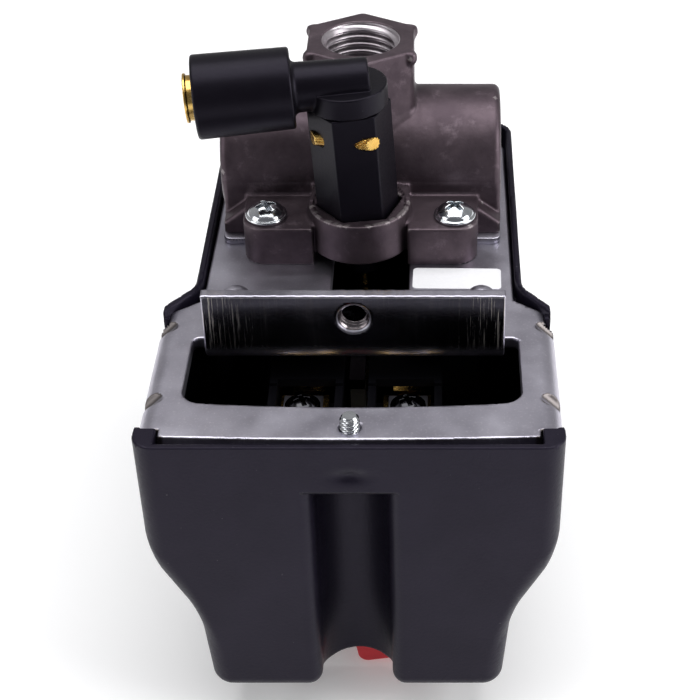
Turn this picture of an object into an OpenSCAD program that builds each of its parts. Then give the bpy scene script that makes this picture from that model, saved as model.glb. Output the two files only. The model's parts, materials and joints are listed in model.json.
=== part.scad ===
// Compressor pressure switch, lying cover down with its ports up.
// Origin: centre of the main port's mouth. +Z along the main port, -Y to the front, in millimetres.
// Each sub-part is drawn in the plate's frame: Z 0 is the plate's outer face, Y 0 its front edge.

/* [Base plate] */
// Thickness of the base plate
plate_t = 2.2; // [1.5:0.1:2.4]
// Half width of the plate at the front, over the side flanges
front_half = 33; // [32:0.5:35]
// Half width of the plate at the rear
rear_half = 26.9; // [25.5:0.05:27]
// Rear edge of the plate
plate_rear = 94.8; // [92:0.2:95]
// Depth of the side flanges
flange_h = 12; // [8:1:14]
// Height of the tab above the plate
tab_h = 11.2; // [9:0.1:13]
// Half width of the tab
tab_half = 24.85; // [22:0.05:25]
// Front face of the tab
tab_y = 22.9; // [22:0.1:24]

/* [Cover] */
// Half width of the cover at its open rim
cover_half = 33.5; // [33:0.1:35]
// Half width of the cover's rear section
cover_rear_half = 28.4; // [28:0.1:29]
// Front face of the cover
cover_front = -2.8; // [-4:0.1:-2.4]
// Rear face of the cover
cover_rear = 98.4; // [97:0.2:100]
// Depth of the cover below the plate
cover_depth = 53; // [52:0.5:56]
// Wall of the cover
cover_wall = 2.0; // [1.6:0.1:2.2]
// Radius of the groove in the front wall
groove_r = 6; // [5:0.5:7]

/* [Port block] */
// Distance from the plate's front edge to the main port
port_y = 73.6; // [73:0.1:75]
// Height of the main port's mouth over the plate
port_h = 32.7; // [31:0.1:36]
// Hexagon of the main port, across flats
port_hex = 19.05; // [18:0.05:19.5]
// Radius of the threaded ports
port_r = 6.0; // [5.6:0.1:6.3]
// Depth of thread in the ports
port_depth = 12; // [10:0.5:13]
// Radius of the port block's barrel
barrel_r = 12; // [11:0.5:12.5]
// Half length of the barrel
barrel_half = 25.2; // [24:0.1:26]

/* [Unloader valve] */
// Hexagon of the valve body, across flats
valve_hex = 12.7; // [12:0.1:13]
// Lean of the valve in its loose seat, degrees
valve_lean = 3; // [0:0.5:3]
// Swivel of the elbow towards the front, degrees
elbow_swivel = 6.5; // [0:0.5:12]
// Diameter of the tube that pushes in
tube_d = 6.35; // [6:0.05:6.4]

/* [Switch mechanism] */
// Swing of the AUTO/OFF lever to one side, degrees
lever_swing = 9.5; // [5:0.5:10]
// Length of the lever from its pivot
lever_len = 28; // [26:0.5:30]
// Coils of the range spring
range_coils = 6; // [4:1:8]

/* [Hidden] */

$fn = 48;
eps = 0.01;          // overshoot of every cut
run = 0.08;          // radial clearance of a running fit

// Base plate
bend_r = 3.2;        // outer radius of every bend
notch_y = 2.4;       // front corners are notched back to here
flange_end = 32.2;   // rear end of the side flanges
waist_y = [36.5, 40.2]; // plate narrows to its rear width between these
edge_y = 0.7;        // front edge at its ends; it bows out to 0
edge_half = 29.9;
bow_r = 640;         // radius of the bowed front edge
open_half = 27.3;    // cable opening
open_front = 8.3;
open_bow_r = 290;
open_r = 3;
relief_y = 27.1;     // reliefs beside the tab reach back to here
relief_r = 1.2;
tab_hole_z = 6.85;
tap_m5_r = 2.1;
funnel_r = 3.4;
collar_r = 3.6;
collar_h = 1.8;
slot_x = [-4.9, 8.7];  // slot under the unloader
slot_y = [40, 60.5];
dart_y = [10.6, 30.6]; // stiffening darts pressed into the flange bends
dart_r = 1.5;
dart_depth = 0.9;

// Cover
rim_w = 1.1;         // width of the open rim
rim_z = 0.52;        // height of the rim at the front
rim_tilt = 1.15;
ledge_z = -8.9;      // ledge over the groove in the front wall

// Fasteners of the port block
screw_x = 16.8;
screw_y = [54.2, 90];
m4_r = 2.0;
m4_hole = 2.15;
m4_head_r = 3.75;
pad_z = 7.35;        // top of the screw pads

// Diaphragm drive
dia_y = 75;
dia_r = 12;
dia_t = 0.9;
piston_r = 7.5;
clamp_t = 1.2;       // clamp plate under the casting
clamp_y = [56.5, 93];
casting_front = 61.6;
casting_rear = 85.6;
barrel_z = 10.2;
rocker_z = -8;       // top face of the rocker
rocker_t = 2;
pivot = [90, -12];   // y and z of the rocker's pivot
pivot_r = 1.5;
cage_x = 11.2;       // inner faces of the cage
cage_t = 1.5;
cage_z = -46;        // inner face of the cage's web
web_y = [60, 83];
web_hole_y = 66;     // cover screw

// Unloader
valve_at = [-0.2, 55.5, 4.01];   // floor of its seat in the ring bracket
ring_r = 9.1;
ring_z = [2, 9.7];
valve_top = 25.2;    // valve body's height over its seat
cap_top = 29.1;
tube_axis = 29.15;
sleeve_x = [-9.25, -25.9];
sleeve_r = 7.05;
collet_r = 3.87;
collet_x = [-27.5, -16.6];

// Contacts
block_x = 14.5;
block_y = [15, 46];
block_gap = 2.1;     // half gap between the two housings
term_x = 8.8;
term_y = [19, 40];
term_z = -10.2;
rivet_at = [21.3, 38.6];
rivet_r = 3;
rivet_h = 2.4;       // height of its round head
rivet_dome_r = 3.075;
lever_y = [10.5, 14.5];
lever_z = -32;       // lever's pivot

module at_plate() translate([0, -port_y, -port_h]) children();

// Valve frame: origin on the seat, Z up the leaning axis.
module at_valve() at_plate() translate(valve_at) rotate([0, -valve_lean, 0]) children();

// Elbow frame: X along the sleeve, at the height of its axis.
module at_elbow() at_valve() translate([0, 0, tube_axis]) rotate([0, 0, elbow_swivel]) children();

function arc(c, r, a0, a1, n = 6) = [for (i = [0 : n]) let (a = a0 + (a1 - a0) * i / n) c + r * [cos(a), sin(a)]];
function mirrored(pts) = concat(pts, [for (i = [len(pts) - 1 : -1 : 0]) [-pts[i].x, pts[i].y]]);

// Box from corner to corner
module span(x, y, z) translate([x[0], y[0], z[0]]) cube([x[1] - x[0], y[1] - y[0], z[1] - z[0]]);

// Box with round vertical edges
module round_span(x, y, z, r) {
    span([x[0] + r, x[1] - r], y, z);
    span(x, [y[0] + r, y[1] - r], z);
    for (cx = [x[0] + r, x[1] - r], cy = [y[0] + r, y[1] - r]) rod([cx, cy, z[0]], r, z[1] - z[0]);
}

module rod(at, r, h) translate(at) cylinder(r = r, h = h);
module rod_x(at, r, h) translate(at) rotate([0, 90, 0]) cylinder(r = r, h = h);
module rod_y(at, r, h) translate(at) rotate([-90, 0, 0]) cylinder(r = r, h = h);
module cone_z(at, r1, r2, h) translate(at) cylinder(r1 = r1, r2 = r2, h = h);
module hex(at, flats, h) translate(at) cylinder(r = flats / sqrt(3), h = h, $fn = 6);
module both_sides() for (s = [0, 1]) mirror([s, 0, 0]) children();

// Profile in Y and Z, extruded along X
module slab_x(x, pts) translate([x[0], 0, 0]) rotate([90, 0, 90]) linear_extrude(x[1] - x[0]) polygon(pts);

// Pan head with a cross recess, seat at the origin, top along +Z
module pan_head(r, h) difference() {
    intersection() {
        cylinder(r = r, h = h);
        translate([0, 0, h - 2.6 * r]) sphere(r = 2.6 * r, $fn = 64);
    }
    for (a = [0, 90]) rotate([0, 0, a]) translate([-0.55 * r, -0.13 * r, h * 0.35]) cube([1.1 * r, 0.26 * r, h]);
}

// Helical spring: its wire follows a helix between two heights of its centre line
module coil(r, wire, z0, z1, turns, around = 14, sides = 8) {
    n = turns * around;
    ring = [for (i = [0 : n]) let (a = 360 * i / around, z = z0 + (z1 - z0) * i / n)
        [for (k = [0 : sides - 1]) let (b = 360 * k / sides)
            [(r + wire * cos(b)) * cos(a), (r + wire * cos(b)) * sin(a), z + wire * sin(b)]]];
    points = [for (row = ring) for (p = row) p];
    skin = [for (i = [0 : n - 1]) for (k = [0 : sides - 1]) let (k2 = (k + 1) % sides)
        [i * sides + k, i * sides + k2, (i + 1) * sides + k2, (i + 1) * sides + k]];
    ends = [[for (k = [sides - 1 : -1 : 0]) k], [for (k = [0 : sides - 1]) n * sides + k]];
    polyhedron(points, concat(skin, ends), convexity = 10);
}

// ---- Plate and casting ----

module plate_outline() polygon(mirrored(concat(
    [[edge_half, edge_y - 1], [edge_half, notch_y], [front_half - bend_r, notch_y],
        [front_half - bend_r, waist_y[0]], [rear_half, waist_y[1]]],
    arc([rear_half - 3, plate_rear - 3], 3, 0, 90))));

module side_flange() {
    span([front_half - plate_t, front_half], [notch_y, flange_end], [-flange_h, -bend_r]);
    translate([front_half - bend_r, notch_y, -bend_r]) intersection() {
        difference() {
            rod_y([0, 0, 0], bend_r, flange_end - notch_y);
            rod_y([0, -eps, 0], bend_r - plate_t, flange_end - notch_y + 2 * eps);
        }
        cube([bend_r, flange_end, bend_r]);
    }
}

// Cutter of one dart, lying across the bend
module dart(y) translate([front_half - bend_r, y, -bend_r]) rotate([0, 45, 0])
    translate([0, 0, bend_r + dart_r - dart_depth]) rotate([0, 90, 0]) cylinder(r = dart_r, h = 6, center = true);

module tab() {
    bend_z = bend_r - plate_t;
    span([-tab_half, tab_half], [tab_y, tab_y + plate_t], [bend_z, tab_h]);
    intersection() {
        difference() {
            rod_x([-tab_half, tab_y + bend_r, bend_z], bend_r, 2 * tab_half);
            rod_x([-tab_half - eps, tab_y + bend_r, bend_z], bend_r - plate_t, 2 * tab_half + 2 * eps);
        }
        span([-tab_half, tab_half], [tab_y, tab_y + bend_r], [-plate_t, bend_z]);
    }
    rod_y([0, tab_y + plate_t - 0.2, tab_hole_z], collar_r, collar_h + 0.2);
}

module base_plate() color("silver") at_plate() difference() {
    union() {
        difference() {
            translate([0, 0, -plate_t]) intersection() {
                linear_extrude(plate_t) plate_outline();
                rod([0, bow_r, 0], bow_r, plate_t, $fn = 200);
            }
            intersection() {
                union() {
                    round_span([-open_half, open_half], [open_front, 24], [-plate_t - eps, eps], open_r);
                    round_span([-open_half, open_half], [15, relief_y], [-plate_t - eps, eps], relief_r);
                }
                rod([0, open_front + open_bow_r, -plate_t - eps], open_bow_r, plate_t + 2 * eps, $fn = 200);
            }
        }
        span([-tab_half, tab_half], [tab_y + bend_r, relief_y + 1], [-plate_t, 0]);
        both_sides() side_flange();
        tab();
    }
    rod_y([0, tab_y - 1, tab_hole_z], tap_m5_r, 6);
    translate([0, tab_y - eps, tab_hole_z]) rotate([-90, 0, 0]) cylinder(r1 = funnel_r, r2 = tap_m5_r, h = 1.1);
    span(slot_x, slot_y, [-plate_t - eps, eps]);
    rod([0, dia_y, -plate_t - eps], piston_r + run, plate_t + 2 * eps);
    rod([0, 3.05, -plate_t - eps], 1.75, plate_t + 2 * eps);
    both_sides() {
        for (y = screw_y) rod([screw_x, y, -plate_t - eps], m4_hole, plate_t + 2 * eps);
        rod([rivet_at.x, rivet_at.y, -plate_t - eps], 1.6, plate_t + 2 * eps);
        for (y = dart_y) dart(y);
    }
}

module clamp_plate() color("silver") at_plate() difference() {
    round_span([-barrel_half, barrel_half], clamp_y, [0, clamp_t], 1.5);
    span(slot_x, [clamp_y[0] - 1, slot_y[1]], [-eps, clamp_t + eps]);
    rod([0, dia_y, -eps], piston_r + run, clamp_t + 2 * eps);
    both_sides() rod([screw_x, screw_y[1], -eps], m4_hole, clamp_t + 2 * eps);
}

module screw_pad(y, corner_y) {
    x = [8.4, 20.9];
    span([x[0], x[1] - 4], y, [0, pad_z]);
    span(x, [min(y[0], y[1]) + (corner_y < 65 ? 4 : 0), y[1] - (corner_y > 65 ? 4 : 0)], [0, pad_z]);
    rod([x[1] - 4, corner_y, 0], 4, pad_z);
}

module gusset(y) translate([0, y[1], 0]) rotate([90, 0, 0]) linear_extrude(y[1] - y[0])
    polygon([[20.6, clamp_t], [25.1, clamp_t], [25.1, 3.4], [20.6, 9.3]]);

module manifold() color("dimgray") at_plate() difference() {
    union() {
        rod_x([-barrel_half, port_y, barrel_z], barrel_r, 2 * barrel_half, $fn = 96);
        span([-barrel_half, barrel_half], [casting_front, casting_rear], [clamp_t, barrel_z]);
        both_sides() {
            screw_pad([49.6, casting_front + 1], 53.6);
            screw_pad([casting_rear - 1, 94.4], 90.4);
            gusset([58.3, casting_front + 1]);
            gusset([casting_rear - 1, 89.8]);
        }
        span([-9, 9], [casting_rear - 1, 90], [clamp_t, pad_z]);
        rod([valve_at.x, valve_at.y, ring_z[0]], ring_r, ring_z[1] - ring_z[0], $fn = 96);
        span([-8.9, 8.5], [valve_at.y, casting_front + 1], ring_z);
        translate([0, port_y, 14]) rotate([0, 0, 90])
            cylinder(r = port_hex / sqrt(3), h = port_h - 14, $fn = 6);
    }
    span([-30, 30], [clamp_y[0] - 0.05, 100], [-3, clamp_t]);
    // seat and relief for the unloader
    translate([valve_at.x, valve_at.y, 4]) rotate([0, 0, 9.5]) hex([0, 0, 0], valve_hex + 0.9, 6);
    rod([valve_at.x, valve_at.y, ring_z[1]], 8.1, 20);
    rod([valve_at.x, valve_at.y, 0], 3.75, 5);
    // main port, side ports and the passage to the diaphragm
    rod([0, port_y, port_h - port_depth], port_r, port_depth + 1);
    rod([0, port_y, clamp_t + 2], 3.5, port_h);
    rod_x([-barrel_half - 1, port_y, barrel_z], 3.5, 2 * barrel_half + 2);
    both_sides() {
        rod_x([barrel_half - port_depth, port_y, barrel_z], port_r, port_depth + 1);
        for (y = screw_y) rod([screw_x, y, -1], m4_hole, 10);
    }
    rod([0, dia_y, 1], dia_r + 0.02, clamp_t + dia_t - 1);
    rod([0, dia_y, 1], 9, 4.1);
}

module manifold_screws() color("lightgray") at_plate() both_sides() for (y = screw_y) {
    translate([screw_x, y, pad_z]) pan_head(m4_head_r, 2.6);
    rod([screw_x, y, -7.6], m4_r, pad_z + 7.6);
}

module manifold_nuts() color("lightgray") at_plate() both_sides() for (y = screw_y) difference() {
    translate([screw_x, y, -plate_t - cage_t - 3.2]) rotate([0, 0, 90]) hex([0, 0, 0], 7, 3.2);
    rod([screw_x, y, -8], m4_r, 5);
}

// ---- Cover ----

// Half plan of the cover, drawn in from the outer face by t
function plan(t) = mirrored(concat(
    arc([cover_half - 5, cover_front + 5], 5 - t, -90, 0),
    [[cover_half - t, 33.9 - t / 3], [cover_rear_half - t, 40.7 - t / 3]],
    arc([cover_rear_half - 4, cover_rear - 4], 4 - t, 0, 90)));

// Half elevation of the cover, drawn in from the outer face by t
function elevation(t) = mirrored(concat(
    [[cover_half - t, 5]],
    arc([cover_half - 9.1, -21.1], 9 - t, 0, -28, 5),
    [[26.15 - t, -36.8 + 0.3 * t]],
    arc([22.6, -cover_depth + 2.2], 2.2 - t / 2, 0, -90, 4)));

module cover_body(t, z) intersection() {
    translate([0, 0, -cover_depth]) linear_extrude(cover_depth + z) polygon(plan(t));
    translate([0, 110, 0]) rotate([90, 0, 0]) linear_extrude(120) polygon(elevation(t));
}

module groove(r, top) {
    rod([0, 1, -cover_depth - 1], r, cover_depth + 1 + top);
    span([-r, r], [cover_front - 2, 1], [-cover_depth - 1, top]);
}

module cover() color("#26282b") at_plate() difference() {
    cover_body(0, 3);
    difference() {
        intersection() {
            cover_body(cover_wall + 0.2, 0);
            span([-50, 50], [cover_front + cover_wall, 110], [-cover_depth + cover_wall, -plate_t]);
        }
        groove(groove_r + cover_wall, ledge_z + cover_wall);
    }
    translate([0, 0, -plate_t - eps]) linear_extrude(10) polygon(plan(rim_w));
    groove(groove_r, ledge_z);
    // the rim rises to the rear
    translate([-40, cover_front - 1, rim_z]) rotate([rim_tilt, 0, 0]) cube([80, 120, 5]);
    // openings for the plate's flanges, under a rim that ends in a point on each side
    both_sides() {
        span([front_half - plate_t - 1.2, 40], [notch_y - 0.1, flange_end + 0.3], [-flange_h - 0.2, 0.12]);
        linear_extrude(5) polygon([[29, notch_y - 0.1], [40, notch_y - 0.1], [40, 21.3], [31.7, 32], [29, 32]]);
    }
    // slot for the lever and hole for the screw
    span([-9.4, 9.4], [lever_y[0] - 0.7, lever_y[1] + 0.7], [-cover_depth - 1, -cover_depth + 5]);
    rod([0, web_hole_y, -cover_depth - 1], 2.2, 5);
}

module cover_screw() color("lightgray") at_plate() translate([0, web_hole_y, -cover_depth]) mirror([0, 0, 1]) {
    pan_head(m4_head_r, 2.4);
    rod([0, 0, -9], m4_r, 9);
}

module cover_post() color("silver") at_plate() difference() {
    hex([0, web_hole_y, -cover_depth + cover_wall], 8, cover_depth - cover_wall + cage_z - cage_t);
    rod([0, web_hole_y, -cover_depth], m4_r, 8);
}

// ---- Trim and terminals ----

module label() color("white") at_plate() translate([9.3, 41.9, 0]) rotate([0, 0, -1])
    round_span([0, 15.6], [0, 6.5], [0, 0.12], 0.8);

module block_rivets() color("silver") at_plate() both_sides() translate([rivet_at.x, rivet_at.y, 0]) {
    intersection() {
        cylinder(r = rivet_r, h = rivet_h);
        translate([0, 0, rivet_h - rivet_dome_r]) sphere(r = rivet_dome_r, $fn = 64);
    }
    rod([0, 0, -9.7], 1.6, 9.7);
    rod([0, 0, -9.9], 2.5, 1.2);
}

module contact_block() color("#1c1b1e") at_plate() difference() {
    union() {
        both_sides() {
            // terminal platforms, housing walls, roof and mounting ear
            span([block_gap, block_x], [block_y[0], 22.4], [-34, term_z]);
            span([block_gap, block_x], [36.6, block_y[1]], [-34, term_z]);
            span([block_gap, block_gap + 1.3], [22.4, 36.6], [-34, -6]);
            span([block_x - 1.3, block_x], [22.4, 36.6], [-34, -6]);
            span([block_gap, block_x], [23.6, 35.4], [-7.6, -6]);
            round_span([block_x - 1.3, 24.4], [34.8, 42], [-8.7, -plate_t], 1.2);
            span([block_x - 1.3, block_x], [34.8, 42], [-12, -6]);
            span([block_gap, block_gap + 1.3], [14, 22.5], [-14, -6.6]);
            span([block_x - 1.3, block_x], [14, 22.5], [-14, -6.6]);
        }
        span([-block_x, block_x], block_y, [-36.5, -34]);
        span([-block_gap - 1, block_gap + 1], [block_y[0], 21.5], [-34, -24]);
    }
    both_sides() {
        rod([rivet_at.x, rivet_at.y, -10], 1.6, 10);
        for (y = term_y) rod([term_x, y, -18], 1.5, 10);
    }
    // passage of the contact carrier
    span([-block_x + 1.3, block_x - 1.3], [27.7, 31.3], [-33, -23.8]);
    rod_y([0, 10, lever_z], 2, 10);
}

module fixed_contacts() color("#c9a24a") at_plate() both_sides() {
    for (s = [0, 1]) translate([0, 29.5, 0]) mirror([0, s, 0]) translate([0, -29.5, 0]) difference() {
        union() {
            span([4.6, 12.6], [15.6, 23.4], [term_z, term_z + 0.9]);
            span([6, 11.6], [22.5, 23.4], [-15.4, term_z + 0.9]);
            span([6, 11.6], [22.5, 27.6], [-15.4, -14.5]);
            rod([term_x, 26, -16.2], 1.5, 0.9);
        }
        rod([term_x, term_y[0], -12], 1.6, 4);
    }
}

module at_terminals() both_sides() for (y = term_y) translate([term_x, y, term_z + 0.9]) children();

module terminal_clamps() color("silver") at_plate() at_terminals() difference() {
    span([-3.3, 3.3], [-3.3, 3.3], [0, 0.8]);
    rod([0, 0, -1], 1.6, 3);
}

module terminal_screws() color("lightgray") at_plate() at_terminals() {
    translate([0, 0, 0.8]) pan_head(3, 1.9);
    rod([0, 0, -6], 1.5, 6.9);
}

module ground_screw() color("lightgray") at_plate() translate([0, 3.05, 0]) {
    rod([0, 0, -3.1], 1.75, 5.5);
    translate([0, 0, -3]) mirror([0, 0, 1]) pan_head(3.3, 2.3);
}

module ground_washer() color("silver") at_plate() difference() {
    rod([0, 3.05, -3], 3.6, 3 - plate_t);
    rod([0, 3.05, -4], 1.76, 3);
}

// ---- Pressure mechanism ----

module diaphragm() color("#3a3a3a") at_plate() rod([0, dia_y, clamp_t], dia_r, dia_t);

module piston() color("silver") at_plate() {
    rod([0, dia_y, -4.5], piston_r, 4.5 + clamp_t);
    rod([0, dia_y, rocker_z + 3], 3, 2);
    translate([0, dia_y, rocker_z + 3]) sphere(r = 3, $fn = 64);
}

module cage() color("silver") at_plate() difference() {
    union() {
        both_sides() {
            slab_x([cage_x, cage_x + cage_t], [[66, -plate_t], [94, -plate_t], [94, -14], [91, -16.5],
                [84, -18], [web_y[1], cage_z - cage_t], [70, cage_z - cage_t], [66, -24]]);
            span([cage_x, 21], [50.4, 94], [-plate_t - cage_t, -plate_t]);
        }
        span([-cage_x - cage_t, cage_x + cage_t], [70, web_y[1]], [cage_z - cage_t, cage_z]);
        span([-8, 8], [web_y[0], 71], [cage_z - cage_t, cage_z]);
    }
    rod_x([-20, pivot[0], pivot[1]], pivot_r, 40);
    both_sides() for (y = screw_y) rod([screw_x, y, -5], m4_hole, 5);
    rod([0, dia_y, cage_z - 3], 2.5, 5);
    rod([0, web_hole_y, cage_z - 3], m4_r, 5);
}

module pivot_pin() color("lightgray") at_plate() rod_x([-cage_x - cage_t - 1, pivot[0], pivot[1]], pivot_r, 2 * (cage_x + cage_t + 1));

module rocker() color("#8d9096") at_plate() difference() {
    union() {
        span([-10.6, 10.6], [51, 84], [rocker_z - rocker_t, rocker_z]);
        span([-1.3, 1.3], [26, 52], [rocker_z - rocker_t, rocker_z]);
        both_sides() slab_x([9, 10.6], [[78, rocker_z - rocker_t], [84, rocker_z], [91, -9.2], [92.8, -11],
            [92.8, -13.5], [90, -15], [87, -14.5]]);
    }
    rod_x([-20, pivot[0], pivot[1]], pivot_r + run, 40);
}

module spring_cup() color("silver") at_plate() {
    rod([0, dia_y, -12], 8.4, 12 + rocker_z - rocker_t);
    rod([0, dia_y, -15], 5.6, 4);
}

module range_spring() color("#9aa0a6") at_plate() translate([0, dia_y, 0]) coil(7, 0.9, -12.95, -37.05, range_coils);

module range_stud() color("lightgray") at_plate() {
    rod([0, dia_y, cage_z - cage_t], 2.5, -22 - cage_z + cage_t);
    rod([0, dia_y, cage_z - cage_t - 2.2], 4, 2.2);
}

module range_nut() color("#c9a24a") at_plate() difference() {
    union() {
        rod([0, dia_y, -40], 8.4, 2);
        hex([0, dia_y, -44], 10, 5);
    }
    rod([0, dia_y, -45], 2.5, 8);
}

module contact_carrier() color("#c9c4b4") at_plate() {
    span([-12.4, 12.4], [28, 31], [-27, -24.6]);
    span([-1.3, 1.3], [28, 31], [-26, rocker_z - rocker_t - 0.1]);
}

module moving_contacts() color("#b87333") at_plate() both_sides() {
    span([6.8, 10.8], [24.4, 34.6], [-18.3, -17.3]);
    for (y = [26, 33]) rod([term_x, y, -17.4], 1.5, 1.1);
}

module contact_springs() color("#9aa0a6") at_plate() both_sides() translate([term_x, 29.5, 0])
    coil(1.7, 0.28, -24.3, -18.6, 4, 10, 6);

// ---- Lever ----

module at_lever() at_plate() translate([0, lever_y[0], lever_z]) rotate([0, -lever_swing, 0]) mirror([0, 0, 1]) children();

module lever() color("#d7262c") at_lever() difference() {
    union() {
        rod_y([0, 0, 0], 4.6, lever_y[1] - lever_y[0]);
        span([-4.6, 4.6], [0, lever_y[1] - lever_y[0]], [0, 8]);
        span([-5, 5], [0, lever_y[1] - lever_y[0]], [5, lever_len - 1.8]);
        span([-3.2, 3.2], [0, lever_y[1] - lever_y[0]], [5, lever_len]);
        for (x = [-3.2, 3.2]) rod_y([x, 0, lever_len - 1.8], 1.8, lever_y[1] - lever_y[0]);
    }
    rod_y([0, -1, 0], 2 + run, 6);
}

module lever_pin() color("lightgray") at_plate() {
    rod_y([0, 9.3, lever_z], 3.2, 1.1);
    rod_y([0, 10, lever_z], 2, 9.8);
}

// ---- Unloader valve ----

module unloader_body() color("#1e2022") at_valve() difference() {
    union() {
        rotate([0, 0, 180 + 9.5]) hex([0, 0, 0.45], valve_hex, valve_top - 0.45);
        rod([0, 0, -8], 3.1, 9);
        cone_z([0, 0, -3.4], 3.1, 3.4, 1.2);
    }
    rod([0, 0, -9], 0.8 + run, 20);
    rod([0, 0, 4], 3.2, 9.6);
    rod([0, 0, 13.5], 3.6, 13);
    elbow_pin_rods(1.21);
}

// Two pins cross the body beside the elbow's spigot and break through its facets
module elbow_pin_rods(r) for (a = [0, 180]) rotate([0, 0, a - 16.4]) rod_x([-9, -4.38, 20.8], r, 18);

module elbow_pins() color("#d4af37") at_valve() intersection() {
    elbow_pin_rods(1.2);
    rotate([0, 0, -17.5]) span([-valve_hex / 2, valve_hex / 2], [-9, 9], [18, 24]);
    rod([0, 0, 18], 7.15, 6);
}

module elbow() color("#1e2022") at_elbow() difference() {
    union() {
        rod([0, 0, valve_top + 0.05 - tube_axis], 6.9, cap_top - valve_top - 0.05);
        rod([0, 0, 14 - tube_axis], 3.5, 12);
        rod_x([sleeve_x[0] - 1, 0, 0], 4.05, 14);
        sphere(r = 4.05);
        translate([sleeve_x[0] + 1.4, 0, 0]) rotate([0, -90, 0]) cylinder(r1 = 4.05, r2 = sleeve_r - 0.6, h = 1.8);
        rod_x([sleeve_x[1], 0, 0], sleeve_r, sleeve_x[0] - sleeve_x[1]);
    }
    rod_x([sleeve_x[1] - 1, 0, 0], collet_r + run, 14.5);
    rod_x([-14, 0, 0], 2.3, 15);
    rod([0, 0, 10 - tube_axis], 1.8, 18);
    // clear of the valve body's top face
    translate([0, 0, 20 - tube_axis]) difference() {
        rod([0, 0, 0], 8, valve_top + 0.05 - 20);
        rod([0, 0, -1], 3.5, 8);
    }
    // groove for the pins
    translate([0, 0, 20.8 - tube_axis]) difference() {
        rod([0, 0, -1.3], 5, 2.6);
        rod([0, 0, -2], 3.0, 4);
    }
    // groove for the O-ring
    translate([0, 0, 16.6 - tube_axis]) difference() {
        rod([0, 0, -0.8], 5, 1.6);
        rod([0, 0, -2], 2.5, 4);
    }
}

module elbow_oring() color("#2b2b2b") at_elbow() translate([0, 0, 16.6 - tube_axis])
    rotate_extrude() translate([3.05, 0]) circle(r = 0.52, $fn = 24);

module tube_oring() color("#2b2b2b") at_elbow() translate([-14.75, 0, 0]) rotate([0, 90, 0])
    rotate_extrude() translate([3.2, 0]) circle(r = 0.7, $fn = 24);

module collet() color("#d4af37") at_elbow() difference() {
    union() {
        rod_x([collet_x[0], 0, 0], collet_r, collet_x[1] - collet_x[0]);
        rod_x([collet_x[0], 0, 0], collet_r + 0.35, 0.5);
    }
    rod_x([collet_x[0] - 1, 0, 0], tube_d / 2 + 0.03, 14);
}

module unloader_stem() color("#c9a24a") at_valve() rod([0, 0, -11.9], 0.8, 19);

module unloader_seal() color("#2b2b2b") at_valve() difference() {
    rod([0, 0, 7.1], 2.4, 1.6);
    rod([0, 0, 7.9], 1.2, 1);
}

module unloader_spring() color("#9aa0a6") at_valve() coil(1.9, 0.3, 9.05, 13.15, 4, 10, 6);

base_plate();
clamp_plate();
manifold();
manifold_screws();
manifold_nuts();
cover();
cover_screw();
cover_post();
label();
block_rivets();
contact_block();
fixed_contacts();
terminal_clamps();
terminal_screws();
ground_screw();
ground_washer();
diaphragm();
piston();
cage();
pivot_pin();
rocker();
spring_cup();
range_spring();
range_stud();
range_nut();
contact_carrier();
moving_contacts();
contact_springs();
lever();
lever_pin();
unloader_body();
elbow_pins();
elbow();
elbow_oring();
tube_oring();
collet();
unloader_stem();
unloader_seal();
unloader_spring();
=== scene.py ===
import json
import math

import bmesh
import bpy
import numpy as np
from mathutils import Matrix, Vector


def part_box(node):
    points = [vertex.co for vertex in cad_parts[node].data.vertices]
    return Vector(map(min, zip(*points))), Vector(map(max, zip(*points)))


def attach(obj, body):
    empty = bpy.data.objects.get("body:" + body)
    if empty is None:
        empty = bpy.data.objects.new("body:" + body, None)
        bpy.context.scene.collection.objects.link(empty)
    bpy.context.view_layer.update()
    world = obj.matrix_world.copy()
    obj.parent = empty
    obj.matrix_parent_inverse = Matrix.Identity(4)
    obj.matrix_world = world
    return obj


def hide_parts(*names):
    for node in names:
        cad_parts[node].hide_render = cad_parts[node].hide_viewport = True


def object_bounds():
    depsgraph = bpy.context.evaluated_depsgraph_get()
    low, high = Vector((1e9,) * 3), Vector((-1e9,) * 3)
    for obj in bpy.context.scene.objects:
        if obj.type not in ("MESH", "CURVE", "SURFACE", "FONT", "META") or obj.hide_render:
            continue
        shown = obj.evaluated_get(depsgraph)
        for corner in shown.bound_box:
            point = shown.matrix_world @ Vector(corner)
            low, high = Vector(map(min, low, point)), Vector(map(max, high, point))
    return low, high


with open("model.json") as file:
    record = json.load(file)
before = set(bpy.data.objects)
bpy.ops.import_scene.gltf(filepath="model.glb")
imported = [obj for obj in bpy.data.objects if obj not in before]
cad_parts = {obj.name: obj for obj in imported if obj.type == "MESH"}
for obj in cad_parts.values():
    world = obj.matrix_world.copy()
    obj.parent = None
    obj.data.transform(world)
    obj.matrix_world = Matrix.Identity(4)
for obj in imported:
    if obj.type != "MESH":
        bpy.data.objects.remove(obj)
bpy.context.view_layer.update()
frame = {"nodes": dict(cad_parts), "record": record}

# Shapes are written in millimetres in the plate's frame: X across, Y back from the plate's front edge,
# Z up from the plate's outer face. PLATE takes them to the row frame in metres.
MM = 0.001
PLATE_CORNER = Vector((0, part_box("base_plate")[0].y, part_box("clamp_plate")[0].z))
PLATE = Matrix.Translation(PLATE_CORNER) @ Matrix.Scale(MM, 4)

# The valve leans in its loose seat, and its elbow is turned a little to the front.
VALVE_SEAT = (-0.2, 55.5, 4.01)
VALVE_HEX = 12.7
HEX_TURN = 39.5
VALVE_LEAN = math.radians(-3)
VALVE = PLATE @ Matrix.Translation(VALVE_SEAT) @ Matrix.Rotation(VALVE_LEAN, 4, "Y")
TUBE_AXIS = 29.15
ELBOW_TURN = math.radians(6.5)
ELBOW = VALVE @ Matrix.Translation((0, 0, TUBE_AXIS)) @ Matrix.Rotation(ELBOW_TURN, 4, "Z")

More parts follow.
